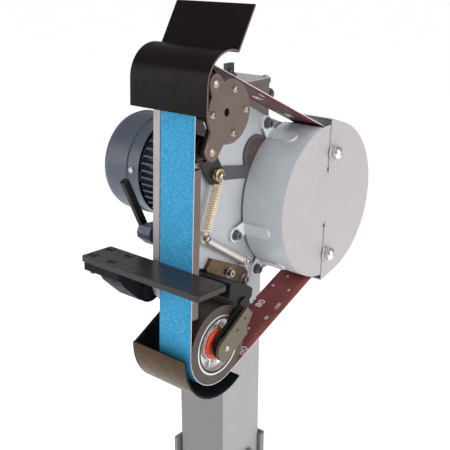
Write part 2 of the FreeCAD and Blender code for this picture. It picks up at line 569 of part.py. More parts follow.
# Contact wheel carrier: slotted zinc plate, cross block, two arms, axle.
cp = polyx([(-168, -54), (-100, -83), (-92, -92), (-94, -113), (-104, -116), (-176, -78), (-178, -66)], -36, -30)
cslot = bar2(-140, -79, -126, -85.5, 3.6, 3.6, -37, -29)
cp = cp.cut(cslot)
cb = []
for (y, z) in ((-133, -82.2), (-101, -99.5), (-106.5, -109)):
    s = cylx(-42, -28.7, 3.0, y, z).fuse(ringx(-30, -28.8, 6.8, 2.9, y, z)).fuse(cylx(-28.8, -23.5, 5.0, y, z)).cut(hexx(-26, -22, 4, y, z))
    cb.append(s.removeSplitter())
for s in cb:
    cp = cp.cut(s)
    parts["frame_plate"] = parts["frame_plate"].cut(s)
parts["carrier_plate"] = cp
yb = polyx([(-202, -62), (-170, -72), (-158, -80), (-159, -90), (-167, -98), (-184, -93), (-204, -80)], -30, 28)
yb = yb.makeFillet(2.5, [e for e in yb.Edges if abs(e.Vertexes[0].X - e.Vertexes[1].X) > 20])
AE_Y, AE_Z = CW_Y - 1.9, CW_Z - 1.7
oa = polyx([(-179.6, -96.0), (-168.8, -106.8), (-180.0, -123.2), (-177.3, -131.2), (-197.5, -142.3), (-210.9, -151.0), (AE_Y, AE_Z), (-227.1, -127.2)], 34, 38)
oa = oa.fuse(cylx(34, 38, 14.5, AE_Y, AE_Z)).removeSplitter()
ARM_PINS = [(-184.0, -109.0), (-197.5, -120.0)]
for (y, z) in ARM_PINS:
    oa = oa.fuse(cylx(31, 35, 5.5, y, z))
ia = bar2(CW_Y, CW_Z, -176.5, -96.5, 15.5, 10.0, 28, 31)
ax = cylx(-23.5, 36, 8, CW_Y, CW_Z).fuse(cylx(26.0, 27.9, 12, CW_Y, CW_Z)).fuse(cylx(35, 38, 3.2, CW_Y, CW_Z)).fuse(dome(38, 2.4, 4.2, CW_Y, CW_Z)).fuse(ringx(31, 34, 12, 7.9, CW_Y, CW_Z))
asx = [cylx(28.5, 38, 3.0, y, z).cut(hexx(36.5, 39, 3, y, z)) for (y, z) in ARM_PINS]
for s in [cylx(28.5, 38.5, 3.0, y, z) for (y, z) in ARM_PINS] + [ax]:
    oa = oa.cut(s)
    ia = ia.cut(s)
parts["carrier_block"] = fuse(yb, ia)
parts["contact_arm_outer"] = oa.removeSplitter()
parts["contact_axle"] = ax.removeSplitter()

# Spring anchor: tube from the front bolt back to the rear screw.
A0 = (-193.0, -18.5)
A1 = (-103.5, -72.5)
dy, dz = A1[0] - A0[0], A1[1] - A0[1]
L = math.hypot(dy, dz)
rod = Part.makeCylinder(5.6, L - 8, V(BELT_X - 28, A0[0] + dy / L * 4, A0[1] + dz / L * 4), V(0, dy, dz))
rod = rod.fuse(cylx(-36, -21.5, 6.6, *A0)).fuse(cylx(-36, -22, 6.4, *A1))
ab = [cylx(-42, -17, 3, *A0).fuse(dome(-17, 3.6, 5.2, *A0)).cut(hexx(-15.4, -12, 3.6, *A0)), cylx(-42, -22, 3, *A1).fuse(dome(-22, 3.2, 5, *A1)).cut(hexx(-20.6, -17, 3.2, *A1))]
for s in ab:
    rod = rod.cut(s)
    parts["frame_plate"] = parts["frame_plate"].cut(s)
parts["spring_anchor_rod"] = rod.removeSplitter()

# Rocker pivot pin.
pin = cylx(-44, 31, 7, PV_Y, PV_Z).fuse(hexx(-44, -40, 17, PV_Y, PV_Z))
parts["rocker_pivot_pin"] = pin.removeSplitter()
parts["frame_plate"] = parts["frame_plate"].cut(pin)

# Table support on the left face of the frame plate, and the clamp block of the lever.
tsb = cylx(-44.7, -40, 16.5, TT_Y, TT_Z)
tpb = cylx(-84, -36.5, 6, TT_Y, TT_Z).fuse(ringx(-84, -80.3, 12, 5.9, TT_Y, TT_Z)).fuse(hexx(-91, -84, 17, TT_Y, TT_Z))
tsb = tsb.cut(tpb)
parts["frame_plate"] = parts["frame_plate"].cut(tpb)
parts["frame_plate"] = fuse(parts["frame_plate"], tsb)
parts["hex_screws"] = group(*(hs + ps + sg + [tpb.removeSplitter()]))
parts["socket_screws"] = group(*(sc + cb + asx + ab))
lb = polyx([(-271, -1), (-267, 7), (-236, 6), (-228, 0), (-228, -12), (-240, -18), (-258, -17), (-270, -7)], -61.5, -40)
lb = lb.makeFillet(3, [e for e in lb.Edges if abs(e.Vertexes[0].X - e.Vertexes[1].X) < 1e-6 and abs(e.Vertexes[0].X - (BELT_X - 61.5)) < 1e-6])
parts["clamp_block"] = lb.cut(cylx(-62, -36, 5.05, LK_Y, LK_Z))
lev = cylx(-60, -44, 5.0, LK_Y, LK_Z).fuse(cylx(-72, -62, 9.5, LK_Y, LK_Z)).fuse(cylx(-62.5, -59, 5.0, LK_Y, LK_Z))
tipy, tipz = -283.0, 61.0
ldy, ldz = tipy - LK_Y, tipz - LK_Z
LL = math.hypot(ldy, ldz)
bar_ = Part.makeBox(9.0, 9.0, LL, V(BELT_X - 71.5, -4.5, 0))
bar_ = bar_.makeFillet(2.0, [e for e in bar_.Edges if abs(e.Vertexes[0].Z - e.Vertexes[1].Z) > 10])
bar_.rotate(V(0, 0, 0), V(1, 0, 0), math.degrees(math.atan2(-ldy, ldz)))
bar_.translate(V(0, LK_Y, LK_Z))
lev = lev.fuse(bar_)
parts["clamp_lever"] = lev.removeSplitter()

# ================================================================ TENSION ROCKER
RK_Y, RK_Z = PV_Y + 4.8, PV_Z - 0.3        # centre of the rocker's round plate
out = [(TR_Y, TR_Z, 10.5), (ID_Y, ID_Z, 10.5), (PV_Y, PV_Z, 30.0)]
tri_ = hull([(TR_Y, TR_Z, 10.5), (ID_Y, ID_Z, 10.5), (PV_Y, PV_Z, 14.0)], 33, 36)
rp = cylx(33, 36, 35.5, RK_Y, RK_Z).fuse(bar2(TR_Y, TR_Z, PV_Y, PV_Z, 10.5, 16, 33, 36)).fuse(bar2(ID_Y, ID_Z, PV_Y, PV_Z, 10.5, 18, 33, 36)).removeSplitter()
rp = rp.cut(cylx(32, 37, 4.6, PV_Y, PV_Z))
rb_ = cylx(26.5, 33, 31.5, RK_Y, RK_Z).fuse(bar2(TR_Y, TR_Z, PV_Y, PV_Z, 9, 14, 26.5, 33)).fuse(bar2(ID_Y, ID_Z, PV_Y, PV_Z, 9, 16, 26.5, 33))
rb_ = rb_.fuse(cylx(-27, 26.6, 15, PV_Y, PV_Z)).cut(cylx(-28, 31.5, 7.05, PV_Y, PV_Z)).cut(cylx(30, 34, 4.6, PV_Y, PV_Z)).removeSplitter()
tl = bar2(PV_Y, PV_Z, BU_Y, BU_Z, 16, 13.4, -31, -27).cut(cylx(-32, -26, 7.05, PV_Y, PV_Z)).cut(cylx(-32, -26, 8.6, BU_Y, BU_Z))
rsx = []
for (y, z) in ((-216.5, 170.6), (-195.8, 146.5), (-217.0, 122.4), (-252.6, 145.9)):
    rsx.append(socket_screw(28, 36, y, z, 2.5, 4.6, 3.6, 3.0))
axl = [cylx(-25.2, 36, 5, TR_Y, TR_Z).fuse(dome(36, 2.4, 5.4, TR_Y, TR_Z)).fuse(cylx(25.6, 26.4, 8, TR_Y, TR_Z)),
       cylx(-25.2, 36, 5, ID_Y, ID_Z).fuse(dome(36, 2.0, 5.0, ID_Y, ID_Z)).fuse(cylx(25.6, 26.4, 8, ID_Y, ID_Z))]
for s in rsx + axl:
    rp = rp.cut(s)
    rb_ = rb_.cut(s)
parts["rocker_plate"] = rp
parts["rocker_hub"] = fuse(rb_, tl)
parts["rocker_screws"] = group(*rsx)
parts["roller_axles"] = group(*[s.removeSplitter() for s in axl])


def roller(r, y, z):
    s = ringx(-24.5, 24.5, r, 5.05, y, z)
    for a in (-25, 22):
        s = s.cut(ringx(a, a + 3, r - 3.5, 8.0, y, z))
    return s


parts["top_roller"] = roller(TOP_R, TR_Y, TR_Z)
parts["idler_roller"] = roller(IDLER_R, ID_Y, ID_Z)

# ================================================================ TENSION RING
tr = ringx(-35.7, -33.3, 99.0, 60 + HUB_GAP).fuse(cylx(-35.7, -33.3, 25.5, -80.0, 67.5).cut(cylx(-37, -32, 61)))
tb2 = bar2(BU_Y, BU_Z, -88.0, 45.5, 9.0, 8.3, -35.7, -33.3)
tr = tr.fuse(tb2.cut(cylx(-37, -32, 61))).removeSplitter()
bs = ringx(-27, -19.5, 9.6, 3.0, BU_Y, BU_Z).cut(ringx(-24, -22.5, 11, 7.6, BU_Y, BU_Z))
bo = cylx(-35.7, -19.5, 3.0, BU_Y, BU_Z).fuse(dome(-19.5, 4.2, 5.6, BU_Y, BU_Z)).cut(hexx(-17.4, -13, 3.6, BU_Y, BU_Z))
bo = bo.fuse(ringx(-33.3, -31.3, 6.0, 2.9, BU_Y, BU_Z)).removeSplitter()
tr = tr.cut(bo)
parts["tension_ring"] = tr
parts["tension_bush"] = bs
parts["tension_bolt"] = bo

# Tension spring: a closed tube of its outer size, hooks at both ends.
S0 = (BU_Y - 4.6, BU_Z - 13.0)
S1 = (A0[0] + 3.2, A0[1] + 9.5)
sdy, sdz = S0[0] - S1[0], S0[1] - S1[1]
SL = math.hypot(sdy, sdz)
spx = BELT_X - 19.0 - 2.2
nco = 18
hel = Part.makeHelix(SL / nco, SL, 5.2)
prof = Part.Wire([Part.makeCircle(0.95, V(5.2, 0, 0), V(0, 1, 0))])
spr = Part.Wire(hel).makePipeShell([prof], True, True)
spr.rotate(V(0, 0, 0), V(1, 0, 0), math.degrees(math.atan2(-sdy, sdz)))
spr.translate(V(spx, S1[0], S1[1]))
parts["tension_spring"] = spr

# ================================================================ CONTACT WHEEL
cwh = ringx(-25, 25, 38, 33, CW_Y, CW_Z).fuse(cylx(-6, 6, 34, CW_Y, CW_Z)).fuse(cylx(-20, 20, 21, CW_Y, CW_Z))
cwh = cwh.cut(cylx(-30, 30, 16, CW_Y, CW_Z))
parts["contact_wheel_hub"] = cwh.removeSplitter()
ct = ringx(-25, 25, CONTACT_R, 38, CW_Y, CW_Z)
parts["contact_wheel_tyre"] = ct


def brg(a, b, ro, ri, y, z):
    return ringx(a, b, ro, ri, y, z)


parts["contact_bearings"] = group(brg(-20, -8, 16, 8.05, CW_Y, CW_Z), brg(8, 20, 16, 8.05, CW_Y, CW_Z))
parts["bearing_seal"] = ringx(20, 22.5, 19.5, 10.5, CW_Y, CW_Z)

# ================================================================ WORK TABLE
tp = boxh(TABLE_X0, TABLE_X1, TABLE_Y0, TABLE_Y1, TABLE_Z0, TABLE_Z1)
tp = tp.makeFillet(3.0, [e for e in tp.Edges if abs(e.Vertexes[0].Z - e.Vertexes[1].Z) > 5])
tp = tp.makeChamfer(0.8, [e for e in tp.Edges if all(abs(v.Z - TABLE_Z1) < 1e-6 for v in e.Vertexes)])
th = [(-94, -307), (-94, -280), (-62, -307), (-62, -280)]
ts = []
for (x, y) in th:
    s = cylz(BELT_X + x, y, -50, TABLE_Z1 - 1.2, 2.5).fuse(Part.makeCone(2.5, 5.2, 2.9, V(BELT_X + x, y, TABLE_Z1 - 4.1), V(0, 0, 1)))
    s = s.cut(cylz(BELT_X + x, y, TABLE_Z1 - 3.6, TABLE_Z1, 1.9))
    s = s.fuse(cylz(BELT_X + x, y, -50.5, -46.5, 4.6))
    ts.append(s.removeSplitter())
    tp = tp.cut(cylz(BELT_X + x, y, -60, -20, 2.5)).cut(Part.makeCone(2.5, 6.6, 4.1, V(BELT_X + x, y, TABLE_Z1 - 4.09), V(0, 0, 1)))
sub = boxh(-101.5, -44, TABLE_Y0 + 2, TABLE_Y1 - 1, -46.5, TABLE_Z0)
for (x, y) in th:
    sub = sub.cut(cylz(BELT_X + x, y, -60, -20, 2.5))
kb = polyx([(-312, -46.5), (-306, -56), (-280, -80), (-268, -82), (-246, -82), (-240, -66), (-246, -52), (-271.9, -46.5)], -79.9, -45.1)
kb = kb.fuse(cylx(-79.9, -45.1, 21, TT_Y, TT_Z)).removeSplitter()
kb = kb.cut(cylx(-81, -40, 6.05, TT_Y, TT_Z))
parts["table_plate"] = tp
parts["table_bracket"] = fuse(sub, kb)
parts["table_screws"] = group(*ts)
for (x, y) in th:
    parts["table_bracket"] = parts["table_bracket"].cut(cylz(BELT_X + x, y, -52, -40, 4.7))

# ================================================================ BELT
def loop(off):
    return hull([(CW_Y, CW_Z, CONTACT_R + off), (0, 0, DRIVE_R + off), (TR_Y, TR_Z, TOP_R + off)], -BELT_W / 2, BELT_W / 2)


parts["sanding_belt"] = loop(BELT_GAP + BELT_T).cut(loop(BELT_GAP))

HEAD = ["frame_plate", "swing_hub", "guard_front", "guard_studs", "guard_rear_cover", "thumb_nut_upper", "thumb_nut_lower", "main_arm", "platen", "spark_guard_upper", 
        "spark_guard_lower", "carrier_plate", "carrier_block", "contact_arm_outer", "contact_axle", "spring_anchor_rod", "rocker_pivot_pin", "clamp_block", 
        "clamp_lever", "rocker_plate", "rocker_hub", "rocker_screws", "roller_axles", "top_roller", "idler_roller", "tension_ring", "tension_bush", "tension_bolt", 
        "tension_spring", "contact_wheel_hub", "contact_wheel_tyre", "contact_bearings", "bearing_seal", "table_plate", "table_bracket", "table_screws", 
        "sanding_belt", "hex_screws", "socket_screws"]
for n in HEAD:
    parts[n] = head(parts[n])

os.makedirs("parts", exist_ok=True)
bad = 0
for name, shape in sorted(parts.items()):
    sol = shape.Solids
    ok = all(s.isValid() for s in sol) and len(sol) > 0
    if not ok:
        bad += 1
        print("NOT VALID", name, len(sol))
    out_ = sol[0] if len(sol) == 1 else Part.Compound(sol)
    out_.exportStep("parts/%s.step" % name)
print(len(parts), "nodes,", bad, "not valid, solids:", {n: len(s.Solids) for n, s in parts.items() if len(s.Solids) != 1})
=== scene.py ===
import bpy, bmesh, math
from mathutils import Vector, Matrix


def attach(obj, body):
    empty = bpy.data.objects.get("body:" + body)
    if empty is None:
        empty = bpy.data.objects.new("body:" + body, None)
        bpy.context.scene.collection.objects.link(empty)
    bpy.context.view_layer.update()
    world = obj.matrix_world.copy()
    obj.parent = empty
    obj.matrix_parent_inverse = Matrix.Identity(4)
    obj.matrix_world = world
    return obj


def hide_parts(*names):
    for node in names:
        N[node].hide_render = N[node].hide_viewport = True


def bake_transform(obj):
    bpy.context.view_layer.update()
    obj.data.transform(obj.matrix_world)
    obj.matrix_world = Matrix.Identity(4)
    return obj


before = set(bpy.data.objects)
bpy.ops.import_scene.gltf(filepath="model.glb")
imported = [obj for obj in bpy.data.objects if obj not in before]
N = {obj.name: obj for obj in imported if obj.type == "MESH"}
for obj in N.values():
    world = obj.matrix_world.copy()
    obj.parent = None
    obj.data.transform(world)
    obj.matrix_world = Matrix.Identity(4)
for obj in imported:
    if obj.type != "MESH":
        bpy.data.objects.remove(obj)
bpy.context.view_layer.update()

# ------------------------------------------------------------------ head frame (swung about the motor axis)
TILT = math.radians(2.73)
CT, ST = math.cos(TILT), math.sin(TILT)
BX = 0.160
HEAD_M = Matrix.Translation((0, 0, 1.0)) @ Matrix.Rotation(-TILT, 4, "X")


def H(hx, y, z):
    """Millimetres in the head frame (hx from the belt's mid plane) to metres in the row frame."""
    return Vector((BX + hx / 1000, (y * CT + z * ST) / 1000, 1.0 + (-y * ST + z * CT) / 1000))


FRONT = -268.0
CW = (FRONT + 49.6 + 1.3, -137.3, 49.6)
DR = (0.0, 0.0, 90.0)
TR = (FRONT + 19.0 + 1.3, 178.8, 19.0)
BU = (-168.0, 55.5)
A0 = (-193.0, -18.5)


def lin(c):
    return c / 12.92 if c <= 0.04045 else ((c + 0.055) / 1.055) ** 2.4


def rgb(r, g, b):
    return (lin(r / 255), lin(g / 255), lin(b / 255), 1.0)


# ------------------------------------------------------------------ materials
class Tree:
    def __init__(self, name):
        self.m = bpy.data.materials.new(name)
        self.m.use_nodes = True
        self.t = self.m.node_tree
        self.n = self.t.nodes
        self.p = self.n["Principled BSDF"]
        self.tc = self.n.new("ShaderNodeTexCoord")

    def link(self, a, b):
        self.t.links.new(a, b)

    def noise(self, scale, detail=3.0, rough=0.55, stretch=None, dist=0.0):
        src = self.tc.outputs["Object"]
        if stretch is not None:
            mp = self.n.new("ShaderNodeMapping")
            mp.inputs["Scale"].default_value = stretch
            self.link(src, mp.inputs["Vector"])
            src = mp.outputs["Vector"]
        x = self.n.new("ShaderNodeTexNoise")
        x.inputs["Scale"].default_value = scale
        x.inputs["Detail"].default_value = detail
        x.inputs["Roughness"].default_value = rough
        x.inputs["Distortion"].default_value = dist
        self.link(src, x.inputs["Vector"])
        return x.outputs["Fac"]

    def voronoi(self, scale, feature="F1"):
        x = self.n.new("ShaderNodeTexVoronoi")
        x.feature = feature
        x.inputs["Scale"].default_value = scale
        self.link(self.tc.outputs["Object"], x.inputs["Vector"])
        return x.outputs["Distance"], x.outputs["Color"]

    def ramp(self, fac, stops):
        r = self.n.new("ShaderNodeValToRGB")
        e = r.color_ramp.elements
        while len(e) > len(stops):
            e.remove(e[-1])
        while len(e) < len(stops):
            e.new(0.5)
        for i, (p, c) in enumerate(stops):
            e[i].position = p
            e[i].color = c if len(c) == 4 else (c[0], c[1], c[2], 1)
        self.link(fac, r.inputs["Fac"])
        return r.outputs["Color"]

    def mix(self, fac, a, b):
        x = self.n.new("ShaderNodeMix")
        x.data_type = "RGBA"
        self._in(fac, x.inputs[0])
        self._in(a, x.inputs[6])
        self._in(b, x.inputs[7])
        return x.outputs[2]

    def _in(self, v, s):
        if hasattr(v, "links") or isinstance(v, bpy.types.NodeSocket):
            self.link(v, s)
        else:
            s.default_value = v

    def mrange(self, v, lo, hi, a=0.0, b=1.0):
        x = self.n.new("ShaderNodeMapRange")
        x.inputs[1].default_value = a
        x.inputs[2].default_value = b
        x.inputs[3].default_value = lo
        x.inputs[4].default_value = hi
        self.link(v, x.inputs[0])
        return x.outputs[0]

    def bump(self, height, strength, dist=0.001, base=None):
        x = self.n.new("ShaderNodeBump")
        x.inputs["Strength"].default_value = strength
        x.inputs["Distance"].default_value = dist
        self.link(height, x.inputs["Height"])
        if base is not None:
            self.link(base, x.inputs["Normal"])
        return x.outputs["Normal"]

    def bevel(self, r):
        x = self.n.new("ShaderNodeBevel")
        x.samples = 4
        x.inputs["Radius"].default_value = r
        return x.outputs["Normal"]


def shade(c, k):
    return (min(c[0] * k, 1), min(c[1] * k, 1), min(c[2] * k, 1), 1)


def paint(name, base, rough=0.42, var=0.10, coat=0.0, peel=0.10, spec=0.5, edge=0.0006, dust=0.0, grain=900.0):
    """Sprayed or powder coated metal: soft colour drift, orange peel, dusty scuffs."""
    t = Tree(name)
    n1 = t.noise(9.0, 4.0)
    n2 = t.noise(85.0, 5.0, 0.65)
    c = t.ramp(n1, [(0.30, shade(base, 1 - var)), (0.70, shade(base, 1 + var))])
    c = t.mix(t.mrange(n2, 0.0, 0.35 + dust, 0.52, 0.72), c, shade(base, 1.0 + 0.22 + dust))
    t.link(c, t.p.inputs["Base Color"])
    t.link(t.mrange(n2, rough - 0.06, rough + 0.10, 0.3, 0.7), t.p.inputs["Roughness"])
    t.p.inputs["Specular IOR Level"].default_value = spec
    t.p.inputs["Coat Weight"].default_value = coat
    t.p.inputs["Coat Roughness"].default_value = 0.25
    b = t.bump(t.noise(grain, 2.0), peel, 0.0004, t.bevel(edge))
    t.link(b, t.p.inputs["Normal"])
    return t.m


def metal(name, base, rough=0.3, brushed=None, var=0.10, edge=0.0005, aniso=0.0, scratch=0.25, metallic=1.0, spots=None):
    """Bare or plated metal: fine directional brushing, handling marks, uneven sheen."""
    t = Tree(name)
    n1 = t.noise(22.0, 4.0)
    n2 = t.noise(160.0, 6.0, 0.7)
    c = t.ramp(n1, [(0.25, shade(base, 1 - var)), (0.75, shade(base, 1 + var))])
    if spots is not None:
        n3 = t.noise(48.0, 5.0, 0.7)
        c = t.mix(t.mrange(n3, 0.0, 0.65, 0.50, 0.66), c, spots)
    t.link(c, t.p.inputs["Base Color"])
    t.p.inputs["Metallic"].default_value = metallic
    t.link(t.mrange(n2, max(rough - 0.08, 0.04), rough + 0.12, 0.3, 0.7), t.p.inputs["Roughness"])
    if aniso:
        t.p.inputs["Anisotropic"].default_value = aniso
    st = brushed if brushed is not None else (60.0, 60.0, 60.0)
    h = t.noise(30.0, 4.0, 0.7, stretch=st)
    b = t.bump(h, scratch, 0.00012, t.bevel(edge))
    t.link(b, t.p.inputs["Normal"])
    return t.m


def rubber(name, base, rough=0.7):
    t = Tree(name)
    n1 = t.noise(60.0, 5.0, 0.65)
    c = t.ramp(n1, [(0.3, shade(base, 0.75)), (0.6, base), (0.8, shade(base, 1.45))])
    t.link(c, t.p.inputs["Base Color"])
    t.link(t.mrange(n1, rough - 0.1, rough + 0.15, 0.3, 0.7), t.p.inputs["Roughness"])
    b = t.bump(t.noise(900.0, 3.0), 0.25, 0.0003, t.bevel(0.0006))
    t.link(b, t.p.inputs["Normal"])
    return t.m


def plastic(name, base, rough=0.45):
    t = Tree(name)
    n1 = t.noise(30.0, 4.0)
    c = t.ramp(n1, [(0.3, shade(base, 0.85)), (0.75, shade(base, 1.25))])
    t.link(c, t.p.inputs["Base Color"])
    t.link(t.mrange(n1, rough - 0.05, rough + 0.12, 0.3, 0.7), t.p.inputs["Roughness"])
    b = t.bump(t.noise(1500.0, 2.0), 0.2, 0.0002, t.bevel(0.0007))
    t.link(b, t.p.inputs["Normal"])
    return t.m


def grit(name):
    """Coated abrasive: tightly packed blue grains in a resin size coat."""
    t = Tree(name)
    d, col = t.voronoi(1500.0)
    n1 = t.noise(14.0, 4.0)
    n2 = t.noise(420.0, 5.0, 0.75)
    c = t.ramp(n2, [(0.30, rgb(18, 112, 160)), (0.50, rgb(44, 144, 190)), (0.72, rgb(96, 184, 214))])
    c = t.mix(t.mrange(n1, 0.0, 0.30, 0.35, 0.7), c, rgb(46, 146, 196))
    c = t.mix(t.mrange(d, 0.35, 0.0, 0.0, 0.45), c, rgb(24, 104, 150))
    t.link(c, t.p.inputs["Base Color"])
    t.p.inputs["Specular IOR Level"].default_value = 0.35
    t.link(t.mrange(n2, 0.60, 0.88, 0.3, 0.7), t.p.inputs["Roughness"])
    b = t.bump(d, 0.55, 0.0005)
    b = t.bump(n2, 0.35, 0.0004, b)
    t.link(b, t.p.inputs["Normal"])
    return t.m


def backing(name, k=1.0):
    """Maroon cloth backing of the belt, with a faint weave and a waxy sheen."""
    t = Tree(name)
    n1 = t.noise(18.0, 5.0, 0.6)
    n2 = t.noise(240.0, 4.0, 0.7, stretch=(1.0, 0.25, 0.25))
    # k scales the whole colour; below 1 it gives a darker copy used as painted shade
    c = t.ramp(n1, [(0.30, shade(rgb(118, 52, 52), k)), (0.55, shade(rgb(138, 66, 65), k)), (0.78, shade(rgb(160, 92, 88), k))])
    c = t.mix(t.mrange(n2, 0.0, 0.35, 0.45, 0.75), c, rgb(104, 46, 47))
    t.link(c, t.p.inputs["Base Color"])
    t.link(t.mrange(n2, 0.30, 0.52, 0.3, 0.7), t.p.inputs["Roughness"])
    w = t.n.new("ShaderNodeTexWave")
    w.inputs["Scale"].default_value = 900.0
    w.inputs["Distortion"].default_value = 0.6
    w.bands_direction = "X"
    t.link(t.tc.outputs["Object"], w.inputs["Vector"])
    b = t.bump(w.outputs["Fac"], 0.12, 0.0002)
    b = t.bump(n2, 0.2, 0.0003, b)
    t.link(b, t.p.inputs["Normal"])
    return t.m


M = {
    "column": paint("column_paint", rgb(116, 114, 115), 0.50, 0.05, peel=0.16),
    "motor": paint("motor_paint", rgb(52, 62, 78), 0.40, 0.10, peel=0.22, grain=650.0),
    "cowl": paint("cowl_paint", rgb(60, 68, 82), 0.36, 0.08, peel=0.14),
    "plate": paint("frame_paint", rgb(172, 176, 181), 0.38, 0.06, peel=0.12, coat=0.15),
    "strip": metal("arm_strip", rgb(150, 144, 146), 0.42, (90.0, 90.0, 6.0), 0.10, scratch=0.2, metallic=0.5),
    "drum": paint("drum_paint", rgb(210, 217, 223), 0.36, 0.05, peel=0.14, coat=0.15),
    "cover": paint("cover_paint", rgb(164, 159, 160), 0.42, 0.025, peel=0.10),
    "cover_flat": paint("cover_paint_flat", rgb(164, 159, 160), 0.42, 0.025, peel=0.10, edge=0.00002),
    # painted highlight: a lighter copy of the guard paint for its rim bevels and lugs
    "guard_painted_highlight": paint("guard_painted_highlight_paint", rgb(226, 231, 235), 0.34, 0.04, peel=0.12, coat=0.2, edge=0.0009),
    # painted light: a lighter copy of the column paint for the column's right-hand faces, standing in for the light
    # falling on that side
    "column_painted_light_side": paint("column_painted_light_side", rgb(150, 150, 151), 0.50, 0.05, peel=0.16),
    "screw": metal("screw_dull", rgb(158, 146, 141), 0.42, None, 0.10, scratch=0.08),
    "box": paint("box_paint", rgb(168, 168, 168), 0.45, 0.05),
    "box_side": paint("box_side", rgb(92, 82, 79), 0.45, 0.06),
    "black": paint("black_coat", rgb(15, 9, 9), 0.32, 0.35, coat=0.0, peel=0.05, spec=0.07),
    "block": paint("block_black", rgb(20, 19, 20), 0.40, 0.30, coat=0.0, peel=0.10, spec=0.18),
    "black_warm": metal("black_warm", rgb(66, 50, 33), 0.36, None, 0.25, scratch=0.08, metallic=0.85, spots=rgb(86, 66, 42)),
    "black_blue": paint("black_blue", rgb(19, 20, 24), 0.52, 0.25, coat=0.0, peel=0.08, spec=0.10),
    "table": metal("table_black_oxide", rgb(54, 47, 46), 0.30, (8.0, 90.0, 90.0), 0.15, scratch=0.14, metallic=0.45, spots=rgb(72, 62, 59)),
    "black_steel": metal("black_steel", rgb(38, 35, 35), 0.36, None, 0.20, scratch=0.12, metallic=0.3),
    "rocker": metal("rocker_brown", rgb(98, 84, 79), 0.40, None, 0.07, scratch=0.10, metallic=0.45, spots=rgb(108, 92, 84)),
    "zinc_olive": metal("olive_zinc", rgb(88, 71, 49), 0.34, None, 0.22, scratch=0.12, metallic=0.6, spots=rgb(118, 92, 56)),
    "arm_olive": metal("arm_olive", rgb(98, 90, 74), 0.42, None, 0.08, scratch=0.12, metallic=0.5, spots=rgb(86, 77, 62)),
    "steel": metal("zinc_steel", rgb(168, 164, 161), 0.34, None, 0.10, scratch=0.1),
    "pin": metal("pin_bronze", rgb(160, 143, 128), 0.36, None, 0.12, scratch=0.1),
    "worn": metal("worn_disc", rgb(92, 74, 72), 0.42, None, 0.35, scratch=0.3, metallic=0.4, spots=rgb(136, 118, 112)),
    "lug_bolt": metal("lug_bolt", rgb(112, 110, 113), 0.42, None, 0.15, scratch=0.2, metallic=0.6),
    "dark_bolt": metal("dark_bolt", rgb(64, 62, 62), 0.36, None, 0.15, scratch=0.2, metallic=0.85),
    "bright": metal("bright_tube", rgb(214, 208, 203), 0.42, None, 0.04, scratch=0.04, metallic=0.75),
    "nickel": metal("nickel_plate", rgb(214, 214, 218), 0.12, None, 0.05, scratch=0.05),
    "brass": metal("brass", rgb(206, 172, 122), 0.26, None, 0.10, scratch=0.08),
    "spring": metal("spring_zinc", rgb(240, 220, 188), 0.34, None, 0.06, scratch=0.05, metallic=0.45),
    "alu": metal("machined_alu", rgb(206, 203, 202), 0.34, None, 0.05, scratch=0.05, metallic=0.8),
    "roller": metal("roller_steel", rgb(66, 58, 58), 0.28, (120.0, 10.0, 10.0), 0.08, scratch=0.2),
    "ring": paint("ring_grey", rgb(78, 74, 78), 0.42, 0.10, peel=0.12),
    "tyre": rubber("wheel_tyre", rgb(58, 46, 40), 0.42),
    "rubber": rubber("drive_rubber", rgb(44, 42, 41), 0.7),
    "seal": rubber("seal_orange", rgb(226, 82, 46), 0.36),
    "plastic": plastic("black_plastic", rgb(30, 30, 32), 0.42),
    "switch": plastic("switch_grey", rgb(58, 60, 62), 0.4),
    "cast": paint("cast_iron", rgb(72, 74, 78), 0.55, 0.15, peel=0.5, grain=500.0),
    "grit": grit("blue_grit"),
    "backing": backing("belt_backing"),
    # painted shade: a darker copy of the backing for the belt's upper run
    "backing_painted_shade": backing("belt_backing_upper_painted_shade", 0.42),
    "belt_edge": paint("belt_edge", rgb(206, 190, 186), 0.6, 0.06, peel=0.1, edge=0.0001),
    "ink": paint("white_ink", rgb(250, 243, 241), 0.55, 0.03, peel=0.1, edge=0.0001),
    # painted shade: a dark coat that stands in for the shadow in the seam's gap
    "dark": paint("seam_gap_painted_shade", rgb(40, 40, 42), 0.6, 0.05, edge=0.0001),
}

LOOK = {
    "base_plate": "column", "pedestal_channel": "column", "column_tube": "column", "column_bolts": "steel", "motor_foot_bolts": "steel",
    "stator_housing": "motor", "drive_end_shield": "motor", "rear_end_shield": "motor", "motor_bearings": "steel", "fan_cowl": "cowl",
    "motor_cover_screws": "steel", "terminal_box": "box_side", "terminal_box_lid": "box", "cable_gland": "plastic", "switch_base": "switch", "switch_knob": "plastic",
    "motor_shaft": "steel", "cooling_fan": "plastic", "drive_wheel": "alu", "drive_wheel_tyre": "rubber", "drive_wheel_bolt": "steel",
    "frame_plate": "plate", "swing_hub": "cast", "guard_front": "drum", "guard_studs": "brass", "main_arm": "strip", "platen": "black_steel",
    "spark_guard_upper": "black", "spark_guard_lower": "black_blue", "carrier_plate": "zinc_olive", "carrier_block": "block", "contact_arm_outer": "arm_olive",
    "contact_axle": "steel", "spring_anchor_rod": "bright", "rocker_pivot_pin": "dark_bolt", "clamp_block": "motor", "hex_screws": "steel", "socket_screws": "steel",
    "sanding_belt": "grit", "tension_spring": "spring", "guard_rear_cover": "cover", "thumb_nut_upper": "nickel", "thumb_nut_lower": "nickel",
    "rocker_plate": "rocker", "rocker_hub": "black_steel", "rocker_screws": "screw", "roller_axles": "pin", "top_roller": "roller", "idler_roller": "roller",
    "tension_ring": "ring", "tension_bush": "brass", "tension_bolt": "steel", "contact_wheel_hub": "alu", "contact_wheel_tyre": "tyre",
    "contact_bearings": "steel", "bearing_seal": "seal", "table_plate": "table", "table_bracket": "black_blue", "table_screws": "dark_bolt", "clamp_lever": "block",
}
for name, key in LOOK.items():
    o = N[name]
    o.data.materials.clear()
    o.data.materials.append(M[key])


